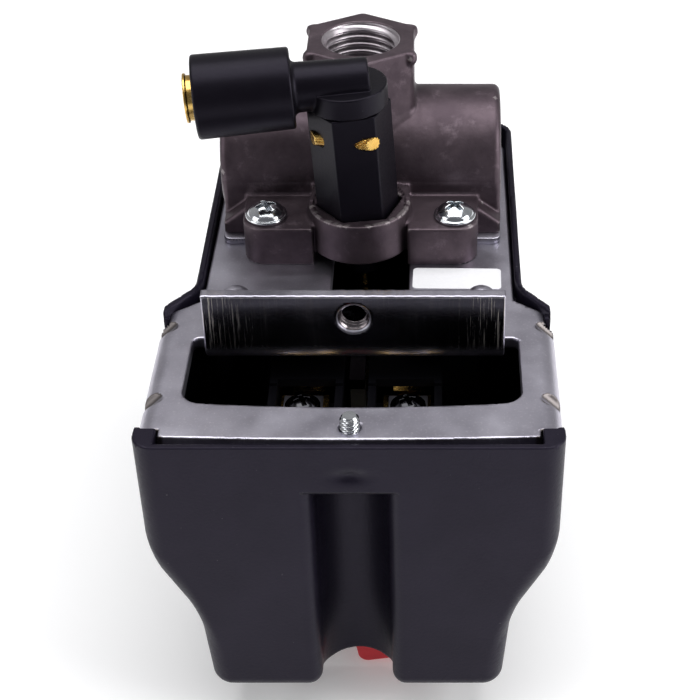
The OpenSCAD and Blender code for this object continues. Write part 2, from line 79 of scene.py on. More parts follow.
PORT_Y = 73.6
BARREL_Z = 10.2
PORT_TOP = 32.7
PORT_HEX = 19.05
PORT_R = 7.0
WAY_R = 3.5
THREAD_R = 6.85
THREAD_ROOT = 7.1
BARREL_ENDS = (-25.6, 25.2)
PISTON_Y = 75
SCREW_X = 16.8
SCREW_Y = (54.2, 90)
SCREW_HOLE_R = 2.15
PAD_TOP = 7.35
RING_TOP = 9.7
RIVET_AT = (21.3, 38.6)
RIVET_R = 1.6
TAB_HOLE_Z = 6.85
TAB_FACE = 22.9
GROUND_SCREW_Y = 3.05


# ---- Solids as distance fields: each returns the distance to its surface, below 0 inside ----

def length(*parts):
    return np.sqrt(sum(part * part for part in parts))


def join(a, b, k=0):
    """Both solids, with a fillet of radius k where they meet."""
    if np.max(k) <= 0:
        return np.minimum(a, b)
    return np.maximum(np.minimum(a, b), k) - length(np.maximum(k - a, 0), np.maximum(k - b, 0))


def common(a, b, k=0):
    """What two solids share, with the new edge rounded by k."""
    return -join(-a, -b, k)


def cut(a, b, k=0):
    """The first solid without the second, with the new edge rounded by k."""
    return -join(-a, b, k)


def between(u, lo, hi):
    return np.abs(u - (lo + hi) / 2) - (hi - lo) / 2


def block(p, x, y, z, edge=0):
    """Box from corner to corner."""
    q = [between(c, *ends) + edge for c, ends in zip(p, (x, y, z))]
    inside = np.minimum(np.maximum(np.maximum(q[0], q[1]), q[2]), 0)
    return length(*[np.maximum(c, 0) for c in q]) + inside - edge


def rod(p, along, centre, r, ends, edge=0):
    """Round bar along one axis; centre is its place on the other two."""
    u, v, w = {"x": (1, 2, 0), "y": (0, 2, 1), "z": (0, 1, 2)}[along]
    return common(length(p[u] - centre[0], p[v] - centre[1]) - r, between(p[w], *ends), edge)


def hexagon(u, v, flats, turn=0, edge=0):
    """Hexagon across flats; turn is the direction of one flat, in degrees."""
    side = None
    for angle in np.radians(turn + np.array([0, 60, 120])):
        flat = np.abs(u * np.cos(angle) + v * np.sin(angle)) - flats / 2
        side = flat if side is None else common(side, flat, edge)
    return side


def facing(u, v, through, direction):
    """Half plane through a point; direction, in degrees, is its outward normal."""
    a = math.radians(direction)
    return (u - through[0]) * math.cos(a) + (v - through[1]) * math.sin(a)


def thread_r(angle, w, r, depth, pitch):
    """Radius of a screw thread that is cut into a bar of radius r."""
    return r - depth * (0.5 + 0.5 * np.cos(2 * np.pi * w / pitch - angle))


def screw_thread(u, v, w, r, depth, pitch):
    """Bar of radius r with a screw thread cut into it."""
    return length(u, v) - thread_r(np.arctan2(v, u), w, r, depth, pitch)


# ---- From fields to meshes ----

def gradient(field, points, h=0.01):
    slope = np.empty_like(points)
    for i in range(3):
        step = np.zeros(3)
        step[i] = h
        slope[:, i] = field(tuple((points + step).T)) - field(tuple((points - step).T))
    return slope / (2 * h)


def skin(field, lo, hi, cell):
    """Points, quads and normals of the surface where field is 0, between two corners."""
    axes = [np.arange(lo[i] - cell, hi[i] + 2 * cell, cell) for i in range(3)]
    grid = np.meshgrid(*axes, indexing="ij", sparse=True)
    solid = np.broadcast_to(field(grid) < 0, [len(a) for a in axes])
    corners = sum(
        solid[i:i - 1 or None, j:j - 1 or None, k:k - 1 or None].astype(np.int8)
        for i in (0, 1) for j in (0, 1) for k in (0, 1)
    )
    crossed = (corners > 0) & (corners < 8)
    number = np.full(crossed.shape, -1)
    number[crossed] = np.arange(crossed.sum())
    points = np.stack([axes[i][at] + cell / 2 for i, at in enumerate(np.nonzero(crossed))], 1)
    for _ in range(5):
        slope = gradient(field, points)
        steep = np.maximum((slope ** 2).sum(1), 0.2)
        move = -slope * (field(tuple(points.T)) / steep)[:, None]
        points += np.clip(move, -cell, cell)
    quads = []
    for i in range(3):
        order = (i, (i + 1) % 3, (i + 2) % 3)
        s, n = np.moveaxis(solid, order, (0, 1, 2)), np.moveaxis(number, order, (0, 1, 2))
        a, b, c = np.nonzero(s[:-1, 1:-1, 1:-1] != s[1:, 1:-1, 1:-1])
        quad = np.stack([n[a, b, c], n[a, b + 1, c], n[a, b + 1, c + 1], n[a, b, c + 1]], 1)
        leaves = s[a, b + 1, c + 1]
        quads.append(np.where(leaves[:, None], quad, quad[:, ::-1]))
    normals = gradient(field, points)
    normals /= np.linalg.norm(normals, axis=1)[:, None]
    return points, np.concatenate(quads), normals


def piece(name, mesh, body, slot, *nodes):
    """Shows a mesh as a piece that rides on a body and stands for CAD nodes."""
    obj = bpy.data.objects.new(name, mesh)
    bpy.context.scene.collection.objects.link(obj)
    mesh.materials.clear()
    mesh.materials.append(MATERIALS[slot])
    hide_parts(*nodes)
    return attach(obj, body)


def carve(name, field, lo, hi, cell, body, slot, *nodes, place=PLATE):
    """A piece made from a field."""
    points, quads, normals = skin(field, lo, hi, cell)
    mesh = bpy.data.meshes.new(name)
    mesh.from_pydata(points, [], quads)
    mesh.polygons.foreach_set("use_smooth", np.ones(len(quads), bool))
    mesh.transform(place)
    turn = np.array(place.to_3x3().normalized())
    mesh.normals_split_custom_set_from_vertices(normals @ turn.T)
    piece(name, mesh, body, slot, *nodes)


def soften(node):
    """A piece with a CAD node's shape and its sharp edges broken."""
    source = frame["nodes"][node]
    mesh = source.data.copy()
    mesh.transform(source.matrix_world)
    bm = bmesh.new()
    bm.from_mesh(mesh)
    bmesh.ops.remove_doubles(bm, verts=bm.verts, dist=1e-6)
    bmesh.ops.dissolve_limit(bm, angle_limit=math.radians(1), verts=bm.verts, edges=bm.edges)
    bm.to_mesh(mesh)
    bm.free()
    mesh.shade_smooth()
    obj = piece(node + ".soft", mesh, BODY_OF[node], SLOT_OF_NODE[node], node)
    bevel = obj.modifiers.new("broken edges", "BEVEL")
    bevel.width = 0.15 * MM
    bevel.segments = 3
    bevel.limit_method = "ANGLE"
    bevel.angle_limit = math.radians(30)
    bevel.harden_normals = True


def turned(name, radius, levels, rim, body, slot, *nodes, place):
    """A turned piece: radius(angle, z) is its threaded face, rim the radius of its plain one."""
    angle = np.linspace(0, 2 * math.pi, 96, endpoint=False)
    heights = np.concatenate([levels, levels[[-1, 0]]])
    r = np.broadcast_to(radius(angle, heights[:, None]), (len(heights), len(angle))).copy()
    r[-2:] = rim
    points = np.stack([r * np.cos(angle), r * np.sin(angle), heights[:, None] + 0 * r], 2)
    number = np.arange(r.size).reshape(r.shape)
    up, round_ = np.roll(number, -1, 0), np.roll(number, -1, 1)
    quads = np.stack([number, round_, np.roll(up, -1, 1), up], 2)
    mesh = bpy.data.meshes.new(name)
    mesh.from_pydata(points.reshape(-1, 3), [], quads.reshape(-1, 4))
    bm = bmesh.new()
    bm.from_mesh(mesh)
    bmesh.ops.remove_doubles(bm, verts=bm.verts, dist=1e-5)
    bmesh.ops.recalc_face_normals(bm, faces=bm.faces)
    bm.to_mesh(mesh)
    bm.free()
    mesh.transform(place)
    mesh.shade_smooth()
    mesh.set_sharp_from_angle(angle=math.radians(50))
    piece(name, mesh, body, slot, *nodes)


# ---- Materials ----

def add(tree, kind, settings=None, **inputs):
    """A shader node; an input takes a value, or another node's output."""
    made = tree.nodes.new("ShaderNode" + kind)
    for key, value in (settings or {}).items():
        setattr(made, key, value)
    for key, value in inputs.items():
        numbered = key[0] == "i" and key[1:].isdigit()
        socket = made.inputs[int(key[1:]) if numbered else key.replace("_", " ")]
        if isinstance(value, bpy.types.NodeSocket):
            tree.links.new(value, socket)
        else:
            socket.default_value = value
    return made


def noise(tree, where, scale, detail=4, roughness=0.6, stretch=(1, 1, 1)):
    spot = add(tree, "Mapping", Vector=where, Scale=stretch).outputs[0]
    return add(tree, "TexNoise", Vector=spot, Scale=scale, Detail=detail, Roughness=roughness).outputs[0]


def spread(tree, value, lo, hi, to_lo, to_hi):
    """Takes the range lo to hi of a value to another range."""
    return add(tree, "MapRange", i0=value, i1=lo, i2=hi, i3=to_lo, i4=to_hi).outputs[0]


def mix(tree, amount, first, second):
    return add(tree, "Mix", {"data_type": "RGBA"}, i0=amount, i6=first, i7=second).outputs[2]


def rgb(r, g, b):
    return (r, g, b, 1)


def look(name, **shader):
    """A material with a Principled shader; returns it with its tree, shader and object coordinates."""
    mat = bpy.data.materials.new(name)
    mat.use_nodes = True
    tree = mat.node_tree
    bsdf = tree.nodes["Principled BSDF"]
    for key, value in shader.items():
        bsdf.inputs[key.replace("_", " ")].default_value = value
    where = tree.nodes.new("ShaderNodeTexCoord").outputs["Object"]
    return mat, tree, bsdf, where


def bump(tree, bsdf, height, strength, depth):
    made = add(tree, "Bump", Height=height, Strength=strength, Distance=depth * MM)
    tree.links.new(made.outputs[0], bsdf.inputs["Normal"])


def math_node(tree, operation, *inputs):
    """Output of a Math node; its inputs are given in order."""
    numbered = {f"i{number}": value for number, value in enumerate(inputs)}
    return add(tree, "Math", {"operation": operation}, **numbered).outputs[0]


def drive(tree, bsdf, **sockets):
    for key, value in sockets.items():
        tree.links.new(value, bsdf.inputs[key.replace("_", " ")])


def moulded(name, dark, light, rough, grain, grain_scale=2600, coat=0, ior=1.42):
    """Moulded plastic: fine spark grain, faint clouds in colour and gloss."""
    mat, tree, bsdf, where = look(name, IOR=ior, Coat_Weight=coat, Coat_Roughness=0.2,
                                  Specular_Tint=rgb(0.82, 0.75, 1))
    cloud = noise(tree, where, 90)
    fine = noise(tree, where, grain_scale, 2)
    dust = spread(tree, noise(tree, where, 1500, 1), 0.8, 0.86, 0, 0.25)
    colour = mix(tree, spread(tree, cloud, 0.35, 0.65, 0, 1), rgb(*dark), rgb(*light))
    colour = mix(tree, dust, colour, rgb(0.4, 0.4, 0.42))
    gloss = spread(tree, fine, 0.3, 0.7, rough - 0.06, rough + 0.06)
    drive(tree, bsdf, Base_Color=colour, Roughness=gloss)
    bump(tree, bsdf, fine, 0.5, grain)
    return mat


def cast_metal():
    """Dark warm die casting: cloudy skin, pale stains, pits, and edges rubbed bright."""
    mat, tree, bsdf, where = look("casting", Metallic=0.82)
    cloud = noise(tree, where, 120, 6, 0.65)
    stain = noise(tree, where, 260, 8, 0.7)
    fine = noise(tree, where, 1600, 3)
    edge = add(tree, "NewGeometry").outputs["Pointiness"]
    cloudy = spread(tree, cloud, 0.35, 0.68, 0, 1)
    colour = mix(tree, cloudy, rgb(0.066, 0.048, 0.059), rgb(0.122, 0.092, 0.108))
    colour = mix(tree, spread(tree, stain, 0.56, 0.76, 0, 0.45), colour, rgb(0.34, 0.27, 0.31))
    colour = mix(tree, spread(tree, edge, 0.54, 0.6, 0, 0.4), colour, rgb(0.5, 0.46, 0.46))
    rough = spread(tree, stain, 0.3, 0.7, 0.4, 0.54)
    drive(tree, bsdf, Base_Color=colour, Roughness=rough)
    bump(tree, bsdf, math_node(tree, "MULTIPLY_ADD", cloud, 0.6, fine), 0.45, 0.05)
    return mat


def zinc_sheet():
    """Zinc-plated sheet: cloudy shine, fine specks, painted shade in the darts, a painted dark reflection
    on the tab's upright face, and upright brush marks on the tab.
    """
    mat, tree, bsdf, where = look("zinc_plate", Metallic=1.0)
    cloud = noise(tree, where, 60, 5)
    fine = noise(tree, where, 2200, 3)
    scratch = noise(tree, where, 420, 6, 0.7, (11, 0.4, 0.25))
    normal = add(tree, "SeparateXYZ", Vector=add(tree, "NewGeometry").outputs["Normal"]).outputs
    # object coordinates are in metres; the darts lie on the side bends, the marks on the tab
    across, _, up = add(tree, "SeparateXYZ", Vector=where).outputs
    forward = math_node(tree, "ABSOLUTE", normal[1])
    side = math_node(tree, "ABSOLUTE", across)
    bend = spread(tree, side, 0.0288, 0.0293, 0, 0.85)
    dart = math_node(tree, "MULTIPLY", spread(tree, forward, 0.1, 0.35, 0, 1), bend)
    above = spread(tree, up, -0.0325, -0.031, 0, 1)
    upright = math_node(tree, "MULTIPLY", spread(tree, forward, 0.8, 0.95, 0, 1), above)
    ends = spread(tree, side, 0.014, 0.023, 0.12, 1)
    marks = math_node(tree, "MULTIPLY", spread(tree, scratch, 0.52, 0.62, 0, 1), upright)
    marks = math_node(tree, "MULTIPLY", marks, ends)
    cloudy = spread(tree, cloud, 0.35, 0.65, 0, 1)
    colour = mix(tree, cloudy, rgb(0.4, 0.385, 0.45), rgb(0.56, 0.545, 0.62))
    colour = mix(tree, spread(tree, fine, 0.56, 0.74, 0, 0.4), colour, rgb(0.78, 0.76, 0.8))
    # painted dark reflection: the tab's upright face is darkened almost to black
    colour = mix(tree, spread(tree, upright, 0, 1, 0, 0.75), colour, rgb(0.1, 0.1, 0.11))
    colour = mix(tree, marks, colour, rgb(0.62, 0.58, 0.52))
    # painted shade inside the darts: their faces are darkened to a warm brown
    colour = mix(tree, dart, colour, rgb(0.1, 0.085, 0.07))
    rough = spread(tree, cloud, 0.3, 0.7, 0.3, 0.42)
    rough = math_node(tree, "MULTIPLY_ADD", upright, -0.2, rough)
    rough = math_node(tree, "MULTIPLY_ADD", marks, 0.3, rough)
    drive(tree, bsdf, Base_Color=colour, Roughness=rough)
    bump(tree, bsdf, math_node(tree, "MULTIPLY_ADD", marks, 0.8, fine), 0.4, 0.025)
    return mat


def bright_metal(name, dark, light, rough_low, rough_high, grain=0.006):
    """Plated or machined metal with faint tool marks and tarnish."""
    mat, tree, bsdf, where = look(name, Metallic=1.0)
    cloud = noise(tree, where, 200, 5)
    fine = noise(tree, where, 900)
    colour = mix(tree, spread(tree, cloud, 0.35, 0.65, 0, 1), rgb(*dark), rgb(*light))
    drive(tree, bsdf, Base_Color=colour, Roughness=spread(tree, fine, 0.35, 0.65, rough_low, rough_high))
    bump(tree, bsdf, fine, 0.3, grain)
    return mat


def paper():
    mat, tree, bsdf, where = look("label_paper", Coat_Weight=0.3, Coat_Roughness=0.25)
    fibre = noise(tree, where, 1800, 3)
    colour = mix(tree, fibre, rgb(0.8, 0.8, 0.83), rgb(0.9, 0.9, 0.92))
    drive(tree, bsdf, Base_Color=colour, Roughness=spread(tree, fibre, 0.3, 0.7, 0.4, 0.55))
    bump(tree, bsdf, noise(tree, where, 150, 2), 0.3, 0.05)
    return mat


# name, darkest and lightest colour, roughness, depth of the grain, and where they are not the usual ones:
# fineness of the grain, coat, index of refraction
PLASTICS = (
    ("cover_plastic", (0.005, 0.004, 0.009), (0.008, 0.0065, 0.013), 0.4, 0.07, 1700, 0, 1.31),
    ("valve_plastic", (0.0025, 0.002, 0.0035), (0.004, 0.0035, 0.0055), 0.38, 0.015, 2600, 0, 1.27),
    ("block_plastic", (0.002, 0.002, 0.0025), (0.003, 0.003, 0.004), 0.5, 0.02, 2600, 0, 1.12),
    ("carrier_plastic", (0.5, 0.46, 0.37), (0.6, 0.56, 0.46), 0.5, 0.01),
    ("lever_plastic", (0.6, 0.025, 0.03), (0.75, 0.04, 0.045), 0.35, 0.008, 2600, 0.2),
    ("rubber", (0.012, 0.012, 0.012), (0.02, 0.02, 0.02), 0.6, 0.015),
)
# name, darkest and lightest colour, least and greatest roughness, then depth of the tool marks
METALS = (
    # painted shade: a near-black copy of the screw steel, for parts seen in the shade inside the switch
    ("painted_shade_steel", (0.03, 0.03, 0.035), (0.06, 0.06, 0.065), 0.1, 0.2),
    # painted shade: a darkened steel for the thread inside the tab's hole
    ("painted_shade_thread", (0.16, 0.14, 0.15), (0.3, 0.27, 0.28), 0.16, 0.28, 0.002),
    ("screw_steel", (0.62, 0.65, 0.68), (0.78, 0.8, 0.83), 0.1, 0.2),
    ("machined", (0.42, 0.38, 0.41), (0.6, 0.56, 0.59), 0.3, 0.4, 0.001),
    ("spring_steel", (0.38, 0.39, 0.42), (0.5, 0.51, 0.53), 0.25, 0.4),
    ("brass", (0.6, 0.36, 0.09), (0.82, 0.56, 0.18), 0.16, 0.3),
    ("copper", (0.65, 0.36, 0.18), (0.78, 0.46, 0.26), 0.25, 0.4),
)
MATERIALS = {"casting": cast_metal(), "zinc_plate": zinc_sheet(), "label_paper": paper()}
MATERIALS.update({name: moulded(name, *finish) for name, *finish in PLASTICS})
MATERIALS.update({name: bright_metal(name, *finish) for name, *finish in METALS})

BODY_OF = {
    node: body
    for body, nodes in frame["record"]["behaviour"]["bodies"].items()
    for node in nodes
}
SLOT_OF_NODE = {part["node"]: part["material_slot"] for part in frame["record"]["subparts"]}
# the rocker takes the near-black steel with painted shade
FINISH_OF_NODE = {**SLOT_OF_NODE, "rocker": "painted_shade_steel"}
for node, obj in frame["nodes"].items():
    for holder in obj.material_slots:
        holder.material = MATERIALS[FINISH_OF_NODE[node]]


# ---- Cover ----

PLATE_T = 2.2
COVER_SCREW_Y = 66
COVER_HALF = 33.7
COVER_REAR_HALF = 28.4
COVER_FRONT = -2.8
COVER_REAR = 98.4
COVER_FLOOR = -53
COVER_WALL = 2.0
GROOVE_R = 6
GROOVE_TOP = -8.9
FRONT_RIM = 0.6
RIM_SLOPE = 0.02
RIM_WIDTH = 1.1
FLANGE_GAP_Y = (2.3, 32.5)
LEDGE_DENT_Z = -5.4


def cover_waist(p):
    """The cover narrows from a point on each side back to its rear width."""
    ax, y = np.abs(p[0]), p[1]
    return join(facing(ax, y, (33.1, 34.7), 38.1), ax - COVER_REAR_HALF, 0.8)


def cover_plan(p):
    """Outer wall of the cover as seen from above: wide front, waist, narrow rear."""
    ax, y = np.abs(p[0]), p[1]
    sides = common(facing(ax, y, (COVER_HALF, 1.4), 1.1), cover_waist(p), 0.3)
    return common(common(sides, COVER_FRONT - y, 3.4), y - COVER_REAR, 4)


def cover_outside(p):
    x, y, z = p
    ax = np.abs(x)
    upper = facing(ax + 0.02 * (y - 1.4), z, (COVER_HALF, 0), -0.6)
    lower = join(facing(ax, z, (26.15, -36.8), -28.3), facing(ax, z, (26.15, -36.8), -5), 1.2)
    sides = common(upper, lower, 2.4)
    walls = common(common(sides, cover_waist(p), 0.3), y - COVER_REAR, 4)
    dent = 0.6 * np.exp(-(x / 2.6) ** 2 - ((z - LEDGE_DENT_Z) / 1.1) ** 2)
    walls = common(walls, COVER_FRONT + dent * (y < 1) - y, 3.4)
    return common(walls, COVER_FLOOR - z, 2.6)


def cover_groove(p):
    """The finger groove down the front wall; it ends under a flat ledge."""
    x, y, _ = p
    return np.where(y < 1, np.abs(x), length(x, y - 1)) - GROOVE_R


def cover(p):
    x, y, z = p
    ax = np.abs(x)
    outside = cover_outside(p)
    groove = cover_groove(p)
    below = cut(outside, groove, np.interp(y, (1, 5), (2.4, 0.45)))
    shell = np.maximum(outside, np.minimum(below, GROOVE_TOP - z))
    shell = common(shell, z - FRONT_RIM - RIM_SLOPE * y, 0.2)
    # the inside, with a shelf that the plate lies on; the front corners stay full height
    room = np.maximum(outside + COVER_WALL + 0.2, z + PLATE_T)
    room = cut(room, np.maximum(groove - COVER_WALL, z - GROOVE_TOP - COVER_WALL), 1.0)
    recess = np.maximum(cover_plan(p) + RIM_WIDTH, np.minimum(ax - 30.2, 2.2 - y))
    room = np.minimum(room, np.maximum(recess, -PLATE_T - z))
    shell = cut(shell, room, 0.25)
    # the gap that the plate's flange comes out through
    flange_window = block((ax, y, z), (29.6, 40), FLANGE_GAP_Y, (-12.2, 0.12))
    shell = cut(shell, flange_window, 0.1)
    rim_end = np.maximum(np.maximum(29 - ax, FLANGE_GAP_Y[0] - y), facing(ax, y, (31.9, 34.2), 37.8))
    shell = cut(shell, np.maximum(rim_end, 0.12 - z), 0.1)
    # the lever's slot and the screw's hole in the bottom
    shell = cut(shell, block(p, (-9.4, 9.4), (9.8, 15.2), (-60, -48), 0.5), 0.3)
    return cut(shell, rod(p, "z", (0, COVER_SCREW_Y), 2.2, (-60, -48)), 0.3)


def make_cover():
    carve("cover.shell", cover, (-34.3, -3.3, -53.5), (34.3, 99, 3), 0.5,
          "housing", "cover_plastic", "cover")


# ---- Base plate, in the coordinates of its flat pattern ----

BEND_R = 3.2
BEND_MID = BEND_R - PLATE_T / 2
FLANGE_BEND_X = 30.4
FLANGE_H = 12
FLANGE_Y = (2.4, 32.2)
PLATE_REAR = 94.8
PLATE_REAR_HALF = 26.9
WAIST_AT = (31.4, 35)
FRONT_BOW = 640
OPENING_HALF = 27.3
OPENING_Y = (8.3, 27.1)
OPENING_BOW = 290
VALVE_SLOT = ((-4.9, 8.7), (32, 60.5))
DART_Y = (10.6, 30.6)
DART_R = 1.65
TAB_BEND_Y = 26.1
TAB_HALF = 24.85
TAB_TOP = 11.2


def unbend(u, w):
    """A sheet runs along u at w 0 and turns down after u 0: distance along it, and off its middle."""
    angle = np.arctan2(np.maximum(u, 0), np.maximum(w, 1e-6))
    straight, curved = u < 0, w > 0
    along = np.where(straight, u, np.where(curved, BEND_MID * angle, BEND_MID * math.pi / 2 - w))
    off = np.where(straight, w - BEND_MID, np.where(curved, length(u, w) - BEND_MID, u - BEND_MID))
    return along, off


def base_plate(p):
    x, y, z = p
    ax = np.abs(x)
    edge = 0.3
    # flat part with its two side flanges
    s, off = unbend(ax - FLANGE_BEND_X, z + BEND_R)
    s = s + FLANGE_BEND_X
    rough_edge = 0.02 * (np.sin(3.1 * x) + np.sin(7.7 * x + 1) * np.sin(0.9 * x))
    front = length(x, y - FRONT_BOW) - FRONT_BOW
    tongue = np.maximum(front + rough_edge, s - 29.9)
    flange_edge = FLANGE_BEND_X + BEND_MID * math.pi / 2 + FLANGE_H - BEND_R
    flange = block((s, y, 0 * z), (20, flange_edge), FLANGE_Y, (-1, 1), 0.5)
    waist = join(facing(s, y, WAIST_AT, 53), s - PLATE_REAR_HALF, 0.3)
    body = common(common(np.maximum(s - WAIST_AT[0] - 0.2, waist), FLANGE_Y[0] - y), y - PLATE_REAR, 3)
    pattern = join(join(np.maximum(tongue, y - 20), flange), body)
    bowed = length(x, y - OPENING_Y[0] - OPENING_BOW) - OPENING_BOW
    opening = common(common(ax - OPENING_HALF, y - OPENING_Y[1], 1.2), bowed, 3)
    pattern = cut(pattern, opening)
    for y_hole, r in ((PISTON_Y, 7.58), (GROUND_SCREW_Y, 1.65)):
        pattern = cut(pattern, length(x, y - y_hole) - r)
    pattern = cut(pattern, block((x, y, 0 * z), *VALVE_SLOT, (-1, 1), 0.8))
    for y_hole in SCREW_Y:
        pattern = cut(pattern, length(ax - SCREW_X, y - y_hole) - SCREW_HOLE_R)
    pattern = cut(pattern, length(ax - RIVET_AT[0], y - RIVET_AT[1]) - RIVET_R)
    sheet = common(pattern, np.abs(off) - PLATE_T / 2, edge)
    # stiffening darts across the flange bends
    for y_dart in DART_Y:
        out = (ax - FLANGE_BEND_X + z + BEND_R) / math.sqrt(2)
        dart = length(out - BEND_R - 0.6, y - y_dart) - DART_R
        sheet = cut(sheet, dart, 0.14)
    # tab, bent up out of the opening
    t, tab_off = unbend(TAB_BEND_Y - y, -(z + PLATE_T - BEND_R))
    tab_length = BEND_MID * math.pi / 2 + TAB_TOP - 1
    ragged = 0.025 * (np.sin(2.3 * x) + np.sin(5.1 * x + 1) * np.sin(1.1 * x))
    tab_pattern = np.maximum(ax - TAB_HALF, between(t, -2, tab_length + ragged * (t > 5)))
    tab = common(tab_pattern, np.abs(tab_off) - PLATE_T / 2, edge)
    collar = rod(p, "y", (0, TAB_HOLE_Z), 3.6, (24, 25.6), 0.3)
    tab = join(tab, collar, 0.6)
    hole = rod(p, "y", (0, TAB_HOLE_Z), 2.6, (20, 30))
    funnel = length(x, z - TAB_HOLE_Z) - 2.9 + (y - TAB_FACE) * 0.9
    tab = cut(cut(tab, np.maximum(funnel, y - 24.5), 0.3), hole, 0.1)
    return join(sheet, tab)


def make_thread(name, r, depth, pitch, deep, rim, place, slot, node):
    """The screw thread inside a hole along Z whose mouth, a small chamfer, is at Z 0."""
    def hollow(angle, z):
        return np.maximum(thread_r(angle, z, r, depth, pitch), r + 0.1 + z * 0.8)
    turned(name, hollow, np.arange(-deep, -0.05, pitch / 16), rim, "housing", slot, node, place=place)


def make_plate():
    carve("base_plate.sheet", base_plate, (-33.8, -0.4, -12.2), (33.8, 95, 11.6), 0.38,
          "housing", "zinc_plate", "base_plate")
    mouth = Matrix.Translation((0, TAB_FACE + 0.3, TAB_HOLE_Z))
    to_tab = PLATE @ mouth @ Matrix.Rotation(math.radians(90), 4, "X")
    # the tab's hole thread is darkened: painted shade
    make_thread("tab.thread", 2.5, 0.45, 0.8, 2.3, 2.75, to_tab, "painted_shade_thread", "base_plate")


# ---- Port block ----

def port_block(p):
    x, y, z = p
    ax = np.abs(x)
    q = (ax, y, z)
    barrel = rod(p, "x", (PORT_Y, BARREL_Z), 12, BARREL_ENDS, 1.3)
    foot = block(p, (-25.2, 25.2), (61.6, 85.6), (-5, BARREL_Z), 0.8)
    metal = join(barrel, foot, 0.3)
    tower = hexagon(x, y - PORT_Y, PORT_HEX, edge=0.9)
    ears = length(ax - 9.1, np.abs(y - PORT_Y) - 5.4, (z - 31.5) * 0.75) - 1.05
    tower = common(join(tower, ears, 0.6), np.maximum(z - PORT_TOP, 10 - z), 0.45)
    metal = join(metal, tower, 0.8)
    # screw pads in front and behind, with gussets up to the barrel's ends
    for outer, inner in ((49.6 - y, y - 63), (y - 94.4, 84 - y)):
        pad = common(common(ax - 20.9, outer, 4), 8.4 - ax, 0.3)
        pad = common(pad, z - PAD_TOP, 0.35)
        metal = join(metal, np.maximum(pad, inner), 0.7)
    gusset = np.maximum(between(ax, 20.6, 25.1), facing(ax, z, (25.1, 3.4), 53))
    gusset = common(gusset, between(y, 58.3, 89.8), 0.7)
    metal = join(metal, gusset, 0.4)
    rear_web = block(p, (-9, 9), (80, 90), (0, PAD_TOP), 0.5)
    metal = join(metal, rear_web, 0.8)
    # the bracket round the valve, with a hexagonal pocket and a wider round mouth
    seat = VALVE_SEAT[:2]
    ring = rod(p, "z", seat, 9.1, (2, RING_TOP), 0.25)
    neck = block(p, (-8.9, 8.5), (seat[1], 64), (2, RING_TOP), 0.3)
    metal = join(metal, join(ring, neck, 0.5), 0.7)
    metal = cut(metal, block(p, (-30, 30), (56.45, 100), (-9, 1.2)), 0.15)
    metal = np.maximum(metal, -z)
    socket = hexagon(x - seat[0], y - seat[1], VALVE_HEX + 0.6, HEX_TURN, 0.2)
    metal = cut(metal, np.maximum(socket, 4 - z), 0.2)
    metal = cut(metal, rod(p, "z", seat, 8.1, (RING_TOP, 30)), 0.25)
    metal = cut(metal, rod(p, "z", seat, 3.75, (-2, 6)), 0.2)
    # the ports' threaded mouths and the ways that join them, down to the diaphragm
    metal = cut(metal, rod(p, "z", (0, PORT_Y), PORT_R, (20.7, 40)), 0.3)
    metal = cut(metal, rod(p, "z", (0, PORT_Y), WAY_R, (3.2, 40)), 0.3)
    metal = cut(metal, rod(p, "x", (PORT_Y, BARREL_Z), WAY_R, (-40, 40)), 0.3)
    metal = cut(metal, rod(q, "x", (PORT_Y, BARREL_Z), PORT_R, (13.2, 40)), 0.3)
    metal = cut(metal, rod(p, "z", (0, PISTON_Y), 9, (-5, 5.1)))
    for y_hole in SCREW_Y:
        metal = cut(metal, rod(q, "z", (SCREW_X, y_hole), SCREW_HOLE_R, (-5, 10)), 0.2)
    return metal


def make_port_block():
    carve("manifold.casting", port_block, (-25.9, 46.1, -0.2), (25.5, 94.7, 33), 0.34,
          "housing", "casting", "manifold")
    left, right = BARREL_ENDS
    ports = {
        "main_port.thread": ((0, PORT_Y, PORT_TOP), 0),
        "right_port.thread": ((right, PORT_Y, BARREL_Z), 90),
        "left_port.thread": ((left, PORT_Y, BARREL_Z), -90),
    }
    for name, (mouth, turn) in ports.items():
        facing_out = Matrix.Rotation(math.radians(turn), 4, "Y") @ Matrix.Translation((0, 0, -0.15))
        place = PLATE @ Matrix.Translation(mouth) @ facing_out
        make_thread(name, THREAD_R, 0.9, 1.41, 11.8, THREAD_ROOT, place, "machined", "manifold")


# ---- Fasteners ----

TERMINAL_X = 8.8
TERMINAL_Y = (19, 40)
TERMINAL_TOP = -8.5
STUD_TOP = 2.4


def pan_head(p, r, top):
    """Pan head with a cross recess, seat at Z 0."""
    x, y, z = p
    flange = rod(p, "z", (0, 0), r, (0, 0.75), 0.3)
    dome_r = 1.17 * r
    dome = common(length(x, y) - r * 0.94, length(x, y, z - top + dome_r) - dome_r, 0.5)
    head = join(np.maximum(dome, -z), flange, 0.15)
    deep = top - z
    wide = 0.12 * r - deep * 0.04
    long = 0.52 * r - deep * 0.34
    arm_x = np.maximum(np.abs(x) - long, np.abs(y) - wide)
    arm_y = np.maximum(np.abs(y) - long, np.abs(x) - wide)
    diagonal = 0.7071
    ticks = hexagon((x + y) * diagonal, (x - y) * diagonal, 0.38 * r - deep * 0.22)
    recess = np.maximum(np.minimum(join(arm_x, arm_y, 0.25), ticks), top - 1.9 - z)
    return cut(head, recess, 0.1)


def machine_screw(r, top, shank_r, shank):
    """Field of a screw from its head's radius and height and its shank's radius and length."""
    def screw(p):
        body = screw_thread(*p, shank_r, 0.3, 0.7)
        body = common(body, between(p[2], -shank, 0.2), 0.3)
        return np.minimum(pan_head(p, r, top), body)
    return screw


def stud_tip(angle, z):
    """Threaded tip of the ground screw; its seat is at Z 0."""
    return np.minimum(thread_r(angle, z, 1.6, 0.38, 0.78), 1.1 + (STUD_TOP - z) * 0.8)


